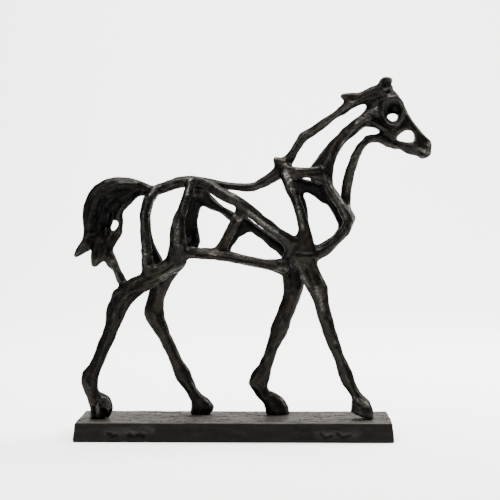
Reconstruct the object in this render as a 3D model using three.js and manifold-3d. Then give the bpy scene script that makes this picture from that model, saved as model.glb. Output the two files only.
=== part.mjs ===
// Walking horse in openwork cast iron, on a flat iron plinth.
//
// Millimetres, +Z up. +X points to the horse's head and -Y to its right side, the side it is seen
// from. The origin is the centre of the plinth's underside.
//
// The horse is one casting: a lattice of tapering bars on each side of an empty barrel, drawn
// together at the croup, the withers, the girth and the chest. Each bar is a row of stations,
//   [x, z, width, out, depth]
// where width is its breadth seen from the side, out is how far its middle lies from the horse's
// middle plane, and depth is its thickness across the horse.

import * as THREE from 'three';
import { mergeVertices } from 'three/addons/utils/BufferGeometryUtils.js';
import Module from 'manifold-3d';

const wasm = await Module();
wasm.setup();

// Driving dimensions
const PLINTH_LENGTH = 225;
const PLINTH_DEPTH = 70;
const PLINTH_HEIGHT = 14;
const PLINTH_TAPER = 1.4;
const PLINTH_TOP_ROUND = 0.8;
const LEG_OUT = 13;
const RIB_OUT = 16.5;
const EYE = [113.4, 231.6];
const EYE_OUT = 7.2;
const EYE_HALF_WIDTH = 6.4;
const EYE_TALLER = 1.36;
const EYE_RIM = 1.5;
const SOCKET_OUT = 10;
const SOCKET_UP = 1.4;
const SOCKET_HALF_WIDTH = 5.4;

// The air under the lifted heel of the right fore hoof, a box that is tipped about the toe
const HEEL_AIR = { toe: 98, length: 20, breadth: 24, height: 8, slope: 0.36 };

const RIGHT = -1;
const LEFT = 1;
const MIDDLE = 1;

const IRON = { color: 0x1b1a19, roughness: 0.5, metalness: 0.85 };

const ACROSS_THE_HORSE = new THREE.Vector3(0, 1, 0);
const TENSION = 0.5;
const DOME_STEP = 0.7;
const MERGE_WITHIN = 1e-4;
const SLENDER = 8;
const CUT_WIDTH = 60;

// A slender bar has six sides, with a flat one facing out, and a stout bar has eight.
function sidesFor(stations) {
  const total = stations.reduce((sum, [, , width]) => sum + width, 0);
  return total / stations.length < SLENDER ? 6 : 8;
}

// One tapering bar through its stations. Its ends are domed by roundness times half its width.
function bar(side, stations, { sides = sidesFor(stations), rings = 1, roundness = 0.6 } = {}) {
  const place = ([x, z, , out]) => new THREE.Vector3(x, side * out, z);
  const size = ([, , width, , depth]) => new THREE.Vector3(width / 2, depth / 2, 0);
  const path = new THREE.CatmullRomCurve3(stations.map(place), false, 'catmullrom', TENSION);
  const sizes = new THREE.CatmullRomCurve3(stations.map(size), false, 'catmullrom', TENSION);
  const count = (stations.length - 1) * rings;
  const deepest = Math.sin((2 * Math.PI * Math.round(sides / 4)) / sides);

  const points = [];
  const addRing = (centre, along, half, scale) => {
    const across = new THREE.Vector3().crossVectors(ACROSS_THE_HORSE, along).normalize();
    const deep = new THREE.Vector3().crossVectors(along, across).normalize();
    for (let k = 0; k < sides; k++) {
      const angle = (2 * Math.PI * k) / sides;
      points.push(centre.clone()
        .addScaledVector(across, Math.cos(angle) * half.x * scale)
        .addScaledVector(deep, (Math.sin(angle) / deepest) * half.y * scale));
    }
  };

  const start = { centre: path.getPoint(0), along: path.getTangent(0), half: sizes.getPoint(0) };
  const end = { centre: path.getPoint(1), along: path.getTangent(1), half: sizes.getPoint(1) };
  const dome = (tip, sign, far) => tip.centre.clone()
    .addScaledVector(tip.along, sign * roundness * tip.half.x * far);

  addRing(dome(start, -1, DOME_STEP), start.along, start.half, DOME_STEP);
  for (let i = 0; i <= count; i++) {
    addRing(path.getPoint(i / count), path.getTangent(i / count), sizes.getPoint(i / count), 1);
  }
  addRing(dome(end, 1, DOME_STEP), end.along, end.half, DOME_STEP);

  const ringCount = count + 3;
  const faces = [];
  for (let r = 0; r < ringCount - 1; r++) {
    for (let k = 0; k < sides; k++) {
      const a = r * sides + k;
      const b = r * sides + ((k + 1) % sides);
      faces.push(a, b, a + sides, b, b + sides, a + sides);
    }
  }
  const first = points.push(dome(start, -1, 1)) - 1;
  const last = points.push(dome(end, 1, 1)) - 1;
  for (let k = 0; k < sides; k++) {
    const next = (k + 1) % sides;
    faces.push(first, next, k);
    faces.push(last, (ringCount - 1) * sides + k, (ringCount - 1) * sides + next);
  }

  const geometry = new THREE.BufferGeometry();
  geometry.setAttribute('position',
    new THREE.Float32BufferAttribute(points.flatMap((p) => [p.x, p.y, p.z]), 3));
  geometry.setIndex(faces);
  return geometry;
}

// An egg-shaped mass where bars meet, given by its middle and half sizes along X, Y and Z.
function mass([x, y, z], [halfX, halfY, halfZ], tilt = 0) {
  return new THREE.SphereGeometry(1, 8, 6)
    .scale(halfX, halfY, halfZ)
    .rotateY(tilt)
    .translate(x, y, z);
}

// A prism right through the horse from side to side, with a smooth outline through [x, z] points.
function opening(outline, steps = 14) {
  const loop = new THREE.SplineCurve([...outline, outline[0]].map(([x, z]) => new THREE.Vector2(x, z)));
  const shape = new THREE.Shape(loop.getPoints(steps).slice(0, -1));
  return new THREE.ExtrudeGeometry(shape, { depth: CUT_WIDTH, bevelEnabled: false, steps: 1 })
    .rotateX(Math.PI / 2)
    .translate(0, CUT_WIDTH / 2, 0);
}

function toSolid(geometry) {
  const plain = geometry.clone();
  plain.deleteAttribute('normal');
  plain.deleteAttribute('uv');
  const merged = mergeVertices(plain, MERGE_WITHIN);
  return new wasm.Manifold(new wasm.Mesh({
    numProp: 3,
    vertProperties: Float32Array.from(merged.attributes.position.array),
    triVerts: Uint32Array.from(merged.index.array),
  }));
}

function toMesh(name, solid, finish) {
  const result = solid.getMesh();
  const geometry = new THREE.BufferGeometry();
  geometry.setAttribute('position', new THREE.Float32BufferAttribute(result.vertProperties, 3));
  geometry.setIndex(Array.from(result.triVerts));
  geometry.computeVertexNormals();
  const mesh = new THREE.Mesh(geometry, new THREE.MeshStandardMaterial(finish));
  mesh.name = name;
  return mesh;
}

const join = (geometries) => geometries.map(toSolid).reduce((whole, next) => whole.add(next));

// Topline: spine from the tail to the withers
function spine() {
  return [
    bar(MIDDLE, [
      [-62, 174.8, 7.5, 0, 9], [-50, 178.4, 7.6, 0, 9], [-41, 181.9, 8, 0, 9],
      [-30, 182.6, 8.4, 0, 10], [-20, 181.4, 7.6, 0, 9], [-10, 179.9, 6.6, 0, 8], [0, 179, 5.6, 0, 7.5],
      [8, 178.1, 5.8, 0, 7.5], [14, 178.8, 6.6, 0, 8], [20, 181.5, 7.2, 0, 8], [26, 185.1, 8, 0, 9],
      [33, 189.7, 10, 0, 11], [37, 193, 9, 0, 11],
    ]),
  ];
}

// Tail: an outer, a middle and an inner lock, the inner one running down to the right hock
function tail() {
  return [
    bar(MIDDLE, [
      [-58, 175, 8, 0, 9], [-67, 178.2, 9.5, 0, 9], [-78, 179, 13.5, 0, 10],
      [-89.5, 176.4, 17, 0, 10], [-98, 168.5, 18, 0, 10], [-101, 158, 16.4, 1, 10],
      [-101.4, 148, 14.6, 2, 9], [-104.2, 140.2, 11.4, 2, 8], [-109.5, 134, 6.8, 1, 7],
      [-114.6, 129.2, 3.6, 0, 5],
    ], { rings: 2 }),
    bar(RIGHT, [
      [-88.5, 171, 14, 0, 8], [-91.5, 161, 13, 1, 9], [-95.4, 150.5, 14, 2, 9], [-94, 143, 15, 3, 9],
      [-95, 135, 15, 3, 8], [-97.7, 128.5, 11, 3, 7], [-100.6, 122.5, 4.6, 2, 5],
    ]),
    bar(RIGHT, [
      [-58, 175, 6, 0, 8], [-69, 175.5, 6, 0, 8], [-78, 169.4, 9, 0, 9], [-84, 160.5, 8, 1, 9],
      [-81.3, 153, 3, 1, 8], [-82.6, 146, 5, 2, 8], [-88, 140.2, 8.4, 3, 8], [-91.5, 133, 9, 4, 8],
      [-88, 126.2, 8.6, 6, 8], [-83, 118.5, 6.2, 9, 8], [-79, 110, 6.6, 11, 8],
    ]),
  ];
}

// Haunch of one side: the bar behind, the bar in front, and the two bars from croup to girth
const HAUNCH = {
  [RIGHT]: {
    behind: [
      [-56, 177, 7, 3, 8], [-61.5, 169.5, 6.6, 9, 8], [-63.7, 160, 6.6, 13, 8],
      [-63.2, 148, 6.4, 15.5, 8], [-62, 136, 6.6, RIB_OUT, 8], [-61.2, 124, 7.6, 16, 9],
      [-61, 113, 10, 14.5, 10],
    ],
    front: [
      [-31.5, 181, 7, 4, 8], [-33.1, 172, 6, 10, 8], [-36.1, 164, 7, 13.5, 8],
      [-39.1, 155, 9.4, 16, 8], [-40, 147, 11, 17, 8], [-39.8, 138, 12.2, RIB_OUT, 9],
      [-42, 128, 12, 15.5, 10],
    ],
    flank: [
      [-26, 183, 6.5, 3, 8], [-18, 179.5, 7.5, 7.5, 8], [-9.5, 174.3, 8.6, 12.5, 8],
      [0.5, 169.3, 8.3, 16, 8], [10.5, 162.4, 8, 17, 8], [20, 154.8, 7.8, 17, 8],
      [30, 147.3, 8, 17, 8], [38.5, 140.5, 10, RIB_OUT, 9], [44, 134, 12, 15, 10],
    ],
    brace: [
      [5.5, 163, 9, 16, 7], [0.4, 153, 7, RIB_OUT, 7], [-4, 145, 6.8, RIB_OUT, 7],
      [-8, 137.5, 7.4, 16, 7], [-10.5, 132, 10, 16, 7],
    ],
    belly: [
      [-36, 131.8, 8.2, 15, 9], [-20, 131.8, 8.2, 17.5, 7], [-5, 130, 7, 18, 7],
      [10, 126.9, 6, 18, 7], [22, 124.7, 6.5, 17, 8], [36, 123, 11, 15, 10],
    ],
  },
  [LEFT]: {
    behind: [
      [-56, 177, 7, 3, 8], [-61.6, 168, 5.6, 9, 8], [-63.6, 158, 5, 13.5, 8], [-63.6, 148, 5, 15.5, 8],
      [-61.8, 138, 5.4, 16, 8], [-58.6, 128.5, 8, 15.5, 8], [-53, 117, 10, 14, 9],
    ],
    front: [
      [-25, 180, 11, 4, 8], [-26.2, 171, 11.4, 10.5, 8], [-30.4, 163, 9.8, 14, 8],
      [-32.2, 155, 9.4, 16, 8], [-32, 147, 10.8, 17, 8], [-31.2, 140, 13, RIB_OUT, 9],
      [-37, 130, 11, 15, 10],
    ],
    flank: [
      [-24.6, 176, 10, 4, 8], [-18.6, 168, 9.6, 10, 8], [-9.7, 162.3, 5.4, 14.5, 8],
      [-3.6, 158, 6.6, 16, 8], [5, 154.4, 8.4, 17, 8], [11.8, 150, 6.8, 17, 8],
      [19.8, 144.2, 6.8, 17, 8], [27, 138.8, 7.8, 17, 8], [35, 132.4, 9, 16, 9],
      [42, 129.5, 9, 14.5, 10],
    ],
    brace: [
      [6.4, 151, 13, RIB_OUT, 7], [0.4, 144.8, 8.4, RIB_OUT, 7], [-4.8, 138, 6.2, 16, 7],
      [-8, 131, 8, 16, 7],
    ],
    belly: [
      [-37, 130.5, 7, 15, 9], [-20, 130.2, 6, 17.5, 7], [-5, 127.4, 6.4, 18, 7],
      [10, 124.7, 6.4, 18, 7], [22, 122.4, 7, 17, 8], [36, 119.8, 10, 15, 10],
    ],
  },
};

// Forehand of one side: the bar from the withers to the elbow, the bar to the neck and the chest
const FOREHAND = {
  [RIGHT]: {
    shoulder: [
      [35, 193, 8, 3, 8], [37, 187, 8.6, 7, 8], [39.5, 179, 8.6, 11, 8], [43.6, 169.5, 7, 14.5, 8],
      [46.9, 160, 7.2, RIB_OUT, 8], [49.3, 150, 8.2, 17, 8], [50, 139, 13, 16, 10],
      [50, 131, 16, 15, 11],
    ],
    collar: [
      [36, 191, 8, 5, 8], [43, 188.2, 8.8, 10, 7], [52, 188.7, 6.8, 11, 7], [59, 187.6, 10.2, 10.2, 7],
      [66, 186.4, 10, 7.6, 8],
    ],
    chest: [
      [70.4, 204, 7, 3, 8], [66.6, 195, 9, 5.5, 8], [64.8, 186, 9, 8.5, 8],
      [67.6, 178, 7, 10.5, 7], [72.1, 171, 6.8, 11.5, 7], [77.2, 163, 7.6, 11, 8],
      [81.2, 155.5, 8.4, 10, 9], [78.8, 147.6, 7.6, 11, 8], [72.6, 140.6, 7.2, 12.5, 8],
      [65, 134.6, 8, 13, 9], [57, 130, 10, 14, 10],
    ],
  },
  [LEFT]: {
    shoulder: [
      [36, 192, 7, 4, 8], [40, 184, 8, 8.5, 8], [44.5, 176, 7.5, 12, 8], [47.2, 168, 7, 14.5, 8],
      [48.8, 160, 7, RIB_OUT, 8], [50.4, 150, 7.2, 17, 8], [51.2, 140, 11, 16, 10],
      [50, 131, 15, 15, 11],
    ],
    collar: [
      [42, 183.4, 9.6, 10, 8], [49, 179.6, 9, 12, 7], [55, 178.6, 9.2, 12, 7],
      [60.4, 176.6, 10.4, 12, 7], [66, 170, 9, 12, 7],
    ],
    chest: [
      [68.4, 200, 7, 3, 8], [64.6, 190, 9, 6, 8], [64.2, 179, 8, 10, 7], [69, 168, 7.6, 12, 7],
      [74, 160.4, 7, 12, 8],
      [77.6, 153.5, 7.2, 11, 8], [77.2, 147.6, 6.8, 11, 8], [72.4, 141, 6.6, 12.5, 8],
      [64, 135.2, 7.2, 13, 9], [57, 131, 10, 14, 10],
    ],
  },
};

function lattice() {
  return [RIGHT, LEFT].flatMap((side) => [HAUNCH[side], FOREHAND[side]]
    .flatMap((group) => Object.values(group))
    .map((stations) => bar(side, stations)));
}

// Masses where the bars of one side run together, and the bridges between the two sides
function masses() {
  return [
    mass([47, -14, 131], [13, 6, 8]),
    mass([48, 14, 130], [12, 6, 8]),
    mass([46, 0, 126], [9, 15, 6]),
    mass([-42, -14.5, 125], [7.5, 6, 8], 0.4),
    mass([-42, 14.5, 125], [7, 6, 8], 0.4),
    mass([36, 0, 191.5], [6, 8, 6]),
    bar(MIDDLE, [
      [78.5, 169.4, 4, 0, 10], [80.5, 163.4, 5.2, 0, 16], [82.6, 157, 7.2, 0, 18],
      [80, 149, 6.5, 0, 18], [76.5, 144.5, 6, 0, 16],
    ]),
  ];
}

// Neck, mane and throat, three bars that spread from the head
function neck() {
  return [
    bar(MIDDLE, [
      [60, 184, 12, 0, 18], [61.2, 190.5, 15.2, 0, 18], [65.4, 198.4, 11.6, 0, 16],
      [70.2, 205.8, 10, 0, 14], [74.6, 211.2, 8.8, 0, 13], [79.4, 216, 8.4, 0, 12],
      [88, 223.6, 9, 0, 13], [94.5, 227.8, 10, 0, 15], [100.5, 232, 15, 0, 17], [106, 237, 17, 0, 17],
    ]),
    bar(MIDDLE, [
      [92, 226.6, 8.4, 0, 12], [100.4, 224.9, 8.8, 0, 14], [107, 220.4, 8, 0, 14], [113, 217, 7, 0, 10],
    ]),
    bar(MIDDLE, [
      [30, 196.4, 6.4, 0, 8], [35.5, 196.2, 7, 0, 9], [39.4, 199, 6.4, 0, 8],
      [42.4, 203.4, 5.8, 0, 8], [45.6, 209.5, 6, 0, 8], [49, 214.4, 7.2, 0, 8],
      [55, 217.5, 6.6, 0, 8], [60.5, 221.3, 6.2, 0, 8], [66, 226, 6, 0, 8],
      [72, 230, 5.6, 0, 8], [78, 234.2, 6.2, 0, 8], [85, 239.8, 8, 0, 8], [93, 242.6, 9.6, 0, 9],
      [101, 245.5, 12, 0, 10],
    ]),
    bar(MIDDLE, [
      [102, 247, 8, 0, 10], [95.4, 242.8, 7.6, 0, 8], [86, 242.4, 6.2, 0, 7], [79.2, 243.2, 5.2, 0, 6],
      [76.2, 243.7, 4.4, 0, 5],
    ]),
    bar(MIDDLE, [
      [80.2, 164, 6, 0, 8], [79.4, 172, 7.4, 0, 8], [80.2, 180, 7, 0, 8], [82.2, 189, 7, 0, 8],
      [85.2, 198, 6.8, 0, 8], [89.4, 206.4, 6.2, 0, 8], [94.6, 212.8, 5.6, 0, 8],
      [101.5, 214, 6.4, 0, 9], [109, 211.3, 8.2, 0, 11], [116, 209.3, 8.2, 0, 9],
    ]),
  ];
}

// Head, with its eye sockets, the opening between them and the opening behind the muzzle
function head() {
  const skull = join([
    bar(MIDDLE, [
      [104.5, 249, 8, 0, 10], [107.4, 243.6, 14.4, 0, 16], [111.9, 234.2, 18.6, 0, 19],
      [115.8, 222, 23.2, 0, 17], [123.4, 213.9, 20.8, 0, 14], [130.8, 208.6, 16.4, 0, 12],
      [136.4, 206, 13.4, 0, 10],
    ], { sides: 12, rings: 2 }),
    mass([134.7, 0, 204.4], [6.1, 5.6, 6], Math.PI / 8),
    bar(MIDDLE, [
      [104, 247, 8, 0, 10], [105.6, 251, 8.4, 0, 10], [107.6, 254, 7.4, 0, 9], [110.2, 255, 4.4, 0, 7],
    ]),
    bar(MIDDLE, [[106.5, 249.6, 5.4, 0, 9], [109.4, 250.7, 4.4, 0, 8], [111.4, 250.5, 2.8, 0, 6]]),
  ]);
  const rims = [RIGHT, LEFT].map((side) => new THREE.TorusGeometry(EYE_HALF_WIDTH, EYE_RIM, 5, 12)
    .rotateX(Math.PI / 2)
    .scale(1, 1, EYE_TALLER)
    .translate(EYE[0], side * EYE_OUT, EYE[1]));
  const sockets = [RIGHT, LEFT].map((side) => mass(
    [EYE[0], side * SOCKET_OUT, EYE[1] + SOCKET_UP],
    [SOCKET_HALF_WIDTH, EYE_OUT, SOCKET_HALF_WIDTH * EYE_TALLER],
  ));
  const cuts = [
    ...sockets,
    opening([[108.6, 228.4], [113.2, 231.8], [117.6, 228.2], [112.8, 224.4]], 8),
    opening([
      [115.2, 213.2], [118.4, 217.6], [123, 220], [127, 218.2], [129, 214.6], [128.4, 210.4],
      [122.5, 209.7], [117.4, 211.3],
    ], 10),
  ];
  return skull.add(join(rims)).subtract(join(cuts));
}

// Legs, from thigh or elbow to fetlock
const LEGS = {
  rightHind: [
    [-38, 128, 12, 15, 10], [-46, 122.5, 12, 15, 10], [-55, 116.5, 12, 14.5, 11],
    [-64, 111, 12.8, 14, 12], [-74, 105, 14.4, 13.5, 13], [-79.8, 99.5, 16, LEG_OUT, 12],
    [-83, 91.5, 14.6, LEG_OUT, 11], [-85.2, 84.5, 11.6, LEG_OUT, 10], [-88.6, 75, 9.8, LEG_OUT, 9],
    [-92.2, 66, 9, LEG_OUT, 9], [-95.8, 56.5, 8.8, LEG_OUT, 9], [-99.2, 49.4, 9.4, LEG_OUT, 9],
    [-102.2, 44.6, 12.2, LEG_OUT, 10], [-102.9, 40.4, 13.2, LEG_OUT, 10],
    [-101.7, 35.6, 10.6, LEG_OUT, 10], [-100, 30, 8.8, LEG_OUT, 10], [-99, 24, 8, LEG_OUT, 11],
  ],
  leftHind: [
    [-39, 129, 10, 15, 10], [-44.4, 121, 11, 14.5, 10], [-50.6, 113, 11.5, 14, 11],
    [-55.2, 106, 12.6, LEG_OUT, 12], [-57.5, 99, 12, LEG_OUT, 11], [-59, 92, 13.6, LEG_OUT, 11],
    [-59, 88, 15, LEG_OUT, 11], [-57.8, 84, 13.9, LEG_OUT, 10.6], [-55.6, 79.6, 12, LEG_OUT, 10],
    [-52.3, 73, 10.2, LEG_OUT, 9],
    [-47.8, 64, 9, LEG_OUT, 9], [-44.2, 56.4, 8.8, LEG_OUT, 9], [-41.2, 49, 9.8, LEG_OUT, 9],
    [-37.6, 42, 12, LEG_OUT, 10], [-34.8, 36.7, 9.8, LEG_OUT, 10], [-31.6, 31.5, 7.6, LEG_OUT, 10],
    [-29, 26, 8, LEG_OUT, 11],
  ],
  leftFore: [
    [43, 124, 15, 14, 11], [42.4, 113, 16, LEG_OUT, 12], [42, 105.5, 15, LEG_OUT, 12],
    [40.7, 99, 12.5, LEG_OUT, 11], [38, 91, 11.6, LEG_OUT, 10], [34.8, 84, 11.8, LEG_OUT, 10],
    [33.2, 79, 13, LEG_OUT, 10], [32, 74.7, 13, LEG_OUT, 10], [29.4, 69, 10.4, LEG_OUT, 9],
    [26.6, 63, 9.2, LEG_OUT, 9], [24.2, 55.3, 9, LEG_OUT, 9], [21.8, 48.3, 10.2, LEG_OUT, 9],
    [18.6, 41.5, 13.6, LEG_OUT, 10], [16.6, 36.6, 15.4, LEG_OUT, 10], [19.2, 31, 9.6, LEG_OUT, 10],
    [23.4, 25, 8, LEG_OUT, 11],
  ],
  rightFore: [
    [51, 127, 14, 14, 11], [54.4, 116, 14.8, LEG_OUT, 12], [59.8, 106, 14.2, LEG_OUT, 12],
    [61.6, 99.5, 11.6, LEG_OUT, 11], [63.2, 91, 10.2, LEG_OUT, 10], [65.6, 83, 9.8, LEG_OUT, 10],
    [68, 75, 9.4, LEG_OUT, 9], [70.8, 67, 8.6, LEG_OUT, 9], [74, 58.8, 7.9, LEG_OUT, 9],
    [77, 52, 8.6, LEG_OUT, 9], [79, 46, 9.8, LEG_OUT, 9], [81, 40, 9.8, LEG_OUT, 9],
    [84.2, 35.3, 8, LEG_OUT, 9], [86.6, 31, 7.8, LEG_OUT, 10], [88.5, 26, 8, LEG_OUT, 11],
  ],
};

const LEG_SIDE = { rightHind: RIGHT, leftHind: LEFT, leftFore: LEFT, rightFore: RIGHT };

// Hooves, as level slices from the pastern down to just below the plinth's top
const HOOVES = {
  rightHind: [
    [-99, 30.5, 8, LEG_OUT, 9], [-97, 28.4, 11.4, LEG_OUT, 12], [-95.2, 25.4, 15.6, LEG_OUT, 14],
    [-94.5, 21.8, 17, LEG_OUT, 14], [-95.4, 18.6, 14.6, LEG_OUT, 13], [-98, 16.4, 9.6, LEG_OUT, 12],
    [-98, 12, 9, LEG_OUT, 11],
  ],
  leftHind: [
    [-30, 30, 7, LEG_OUT, 9], [-28.2, 26.4, 9.6, LEG_OUT, 12], [-25.4, 22, 14.6, LEG_OUT, 14],
    [-24.1, 18.6, 17.6, LEG_OUT, 15], [-24.8, 16, 15.4, LEG_OUT, 14], [-24.8, 12, 15, LEG_OUT, 14],
  ],
  leftFore: [
    [22, 29, 7, LEG_OUT, 9], [24.6, 26, 11, LEG_OUT, 12], [28.4, 22, 14.8, LEG_OUT, 14],
    [30.6, 17.5, 16.8, LEG_OUT, 15], [31.2, 12, 17, LEG_OUT, 15],
  ],
  rightFore: [
    [86, 32, 7, LEG_OUT, 9], [87.6, 28.4, 9.6, LEG_OUT, 12], [89.8, 24, 14.2, LEG_OUT, 14],
    [90.6, 19.5, 16.4, LEG_OUT, 15], [91, 12, 16.4, LEG_OUT, 15],
  ],
};

function legs() {
  return Object.keys(LEGS).flatMap((leg) => [
    bar(LEG_SIDE[leg], LEGS[leg]),
    bar(LEG_SIDE[leg], HOOVES[leg], { roundness: 0.2 }),
  ]);
}

// The horse as cast: soles cut level on the plinth, the right fore heel lifted off it
function horse() {
  const below = new THREE.BoxGeometry(PLINTH_LENGTH, PLINTH_DEPTH, CUT_WIDTH)
    .translate(0, 0, PLINTH_HEIGHT - CUT_WIDTH / 2);
  const underHeel = new THREE.BoxGeometry(HEEL_AIR.length, HEEL_AIR.breadth, HEEL_AIR.height)
    .translate(-HEEL_AIR.length / 2, 0, -HEEL_AIR.height / 2)
    .rotateY(HEEL_AIR.slope)
    .translate(HEEL_AIR.toe, RIGHT * LEG_OUT, PLINTH_HEIGHT);
  const bars = [...spine(), ...tail(), ...lattice(), ...masses(), ...neck(), ...legs()];
  return join(bars).add(head()).subtract(join([below, underHeel]));
}

// The plinth: a plain iron slab, its sides leaning in and its top edge softened
function plinth() {
  const slab = (inset, z) => {
    const halfX = PLINTH_LENGTH / 2 - inset;
    const halfY = PLINTH_DEPTH / 2 - inset;
    return [[-halfX, -halfY, z], [halfX, -halfY, z], [halfX, halfY, z], [-halfX, halfY, z]];
  };
  const layers = [
    slab(0, 0),
    slab(PLINTH_TAPER, PLINTH_HEIGHT - PLINTH_TOP_ROUND),
    slab(PLINTH_TAPER + PLINTH_TOP_ROUND, PLINTH_HEIGHT),
  ];
  const faces = [0, 2, 1, 0, 3, 2];
  for (let layer = 0; layer < layers.length - 1; layer++) {
    for (let k = 0; k < 4; k++) {
      const a = layer * 4 + k;
      const b = layer * 4 + ((k + 1) % 4);
      faces.push(a, b, b + 4, a, b + 4, a + 4);
    }
  }
  const top = (layers.length - 1) * 4;
  faces.push(top, top + 1, top + 2, top, top + 2, top + 3);
  const geometry = new THREE.BufferGeometry();
  geometry.setAttribute('position', new THREE.Float32BufferAttribute(layers.flat(2), 3));
  geometry.setIndex(faces);
  return toSolid(geometry);
}

const statue = new THREE.Group();
statue.add(toMesh('plinth', plinth(), IRON));
statue.add(toMesh('horse', horse(), IRON));

export default statue;
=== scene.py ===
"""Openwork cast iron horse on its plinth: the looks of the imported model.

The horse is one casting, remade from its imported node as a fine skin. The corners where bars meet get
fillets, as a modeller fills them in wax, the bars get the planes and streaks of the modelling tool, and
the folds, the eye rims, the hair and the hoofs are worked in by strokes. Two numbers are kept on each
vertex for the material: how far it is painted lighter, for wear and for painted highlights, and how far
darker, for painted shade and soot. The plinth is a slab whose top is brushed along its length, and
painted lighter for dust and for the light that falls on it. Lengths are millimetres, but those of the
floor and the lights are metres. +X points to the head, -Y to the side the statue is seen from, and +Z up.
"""

import logging
import math
from dataclasses import dataclass
from enum import Enum

import bmesh
import bpy
import numpy as np
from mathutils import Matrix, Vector


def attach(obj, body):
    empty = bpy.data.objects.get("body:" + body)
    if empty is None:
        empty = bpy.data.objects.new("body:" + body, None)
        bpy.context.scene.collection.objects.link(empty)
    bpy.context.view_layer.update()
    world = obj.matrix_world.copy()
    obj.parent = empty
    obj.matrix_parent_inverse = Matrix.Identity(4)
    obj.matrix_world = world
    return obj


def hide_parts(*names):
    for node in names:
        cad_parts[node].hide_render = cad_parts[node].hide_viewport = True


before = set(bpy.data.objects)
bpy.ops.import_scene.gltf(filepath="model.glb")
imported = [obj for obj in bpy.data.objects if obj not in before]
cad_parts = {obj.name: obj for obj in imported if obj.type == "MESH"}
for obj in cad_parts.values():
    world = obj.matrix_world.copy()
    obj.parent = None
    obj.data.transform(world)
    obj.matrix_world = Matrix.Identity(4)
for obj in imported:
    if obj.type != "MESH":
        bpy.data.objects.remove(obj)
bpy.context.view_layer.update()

MM = 0.001
BODY = "root"
ARC_STEP = 15  # degrees between two points of an arc
FACING_GAIN = 2.5  # a stroke has its full height where the skin faces its side by 0.4 or more
SHORTEST = 1e-9  # keeps a vector's length from being a zero divisor
LOG = logging.getLogger("cast_horse")


class Side(Enum):
    """The side of the horse that a stroke is worked on."""

    RIGHT = (-1,)
    LEFT = (1,)
    BOTH = (-1, 1)


class Tool(Enum):
    """How a stroke shapes the skin across its width, from its middle (0) to its edge (1)."""

    ROUND = "round"
    CREST = "crest"


@dataclass(frozen=True)
class Stroke:
    """One stroke of the modelling tool, followed along X and Z on a side of the horse.

    Attributes:
        name: What the stroke makes.
        path: The points it runs through, along X and Z.
        height: How far it raises the skin, or sinks it where negative.
        reach: Half the width of the stroke.
        side: The side of the horse it is worked on.
        tool: Its shape across its width.
    """

    name: str
    path: tuple[tuple[float, float], ...]
    height: float
    reach: float
    side: Side = Side.RIGHT
    tool: Tool = Tool.ROUND


@dataclass(frozen=True)
class Pull:
    """A place where the wax is drawn a little way, through its whole thickness.

    Attributes:
        name: What is drawn out.
        place: Where the pull begins, along X and Z.
        way: How far the wax moves there, along X and Z.
        reach: How far round the place the wax follows.
    """

    name: str
    place: tuple[float, float]
    way: tuple[float, float]
    reach: float


def arc(
    middle: tuple[float, float], half: tuple[float, float], first: int, last: int
) -> tuple[tuple[float, float], ...]:
    """Makes the path of a stroke along part of an ellipse.

    Args:
        middle: The ellipse's middle, along X and Z.
        half: Its half sizes along X and Z.
        first: The angle it starts at, in degrees from +X towards +Z.
        last: The angle it ends at.

    Returns:
        The points of the path.
    """
    angles = (math.radians(turn) for turn in range(first, last + 1, ARC_STEP))
    return tuple(
        (middle[0] + half[0] * math.cos(a), middle[1] + half[1] * math.sin(a)) for a in angles
    )


# Places where the edges of the openings and the knobs are drawn out

PULLS = (
    Pull("tip of the throat gap", (101.6, 219.8), (2.8, -1.3), 6.4),
    Pull("back of the muzzle gap", (117.7, 214.0), (-2.0, -0.7), 5.5),
    Pull("back of the eye's gap", (110.7, 228.8), (-1.6, 0.0), 5.0),
    Pull("foot of the eye's gap", (113.4, 226.0), (0.0, -0.8), 4.0),
    Pull("back of the ear", (104.0, 249.4), (-1.6, 0.4), 4.0),
    Pull("lip of the ear", (111.3, 254.5), (1.2, 0.3), 3.0),
    Pull("tip of the withers knob", (30.0, 198.4), (-1.4, 0.8), 3.5),
)

# Strokes on the casting, by the part of the horse they are on

EYE = (112.6, 232.6)

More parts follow.
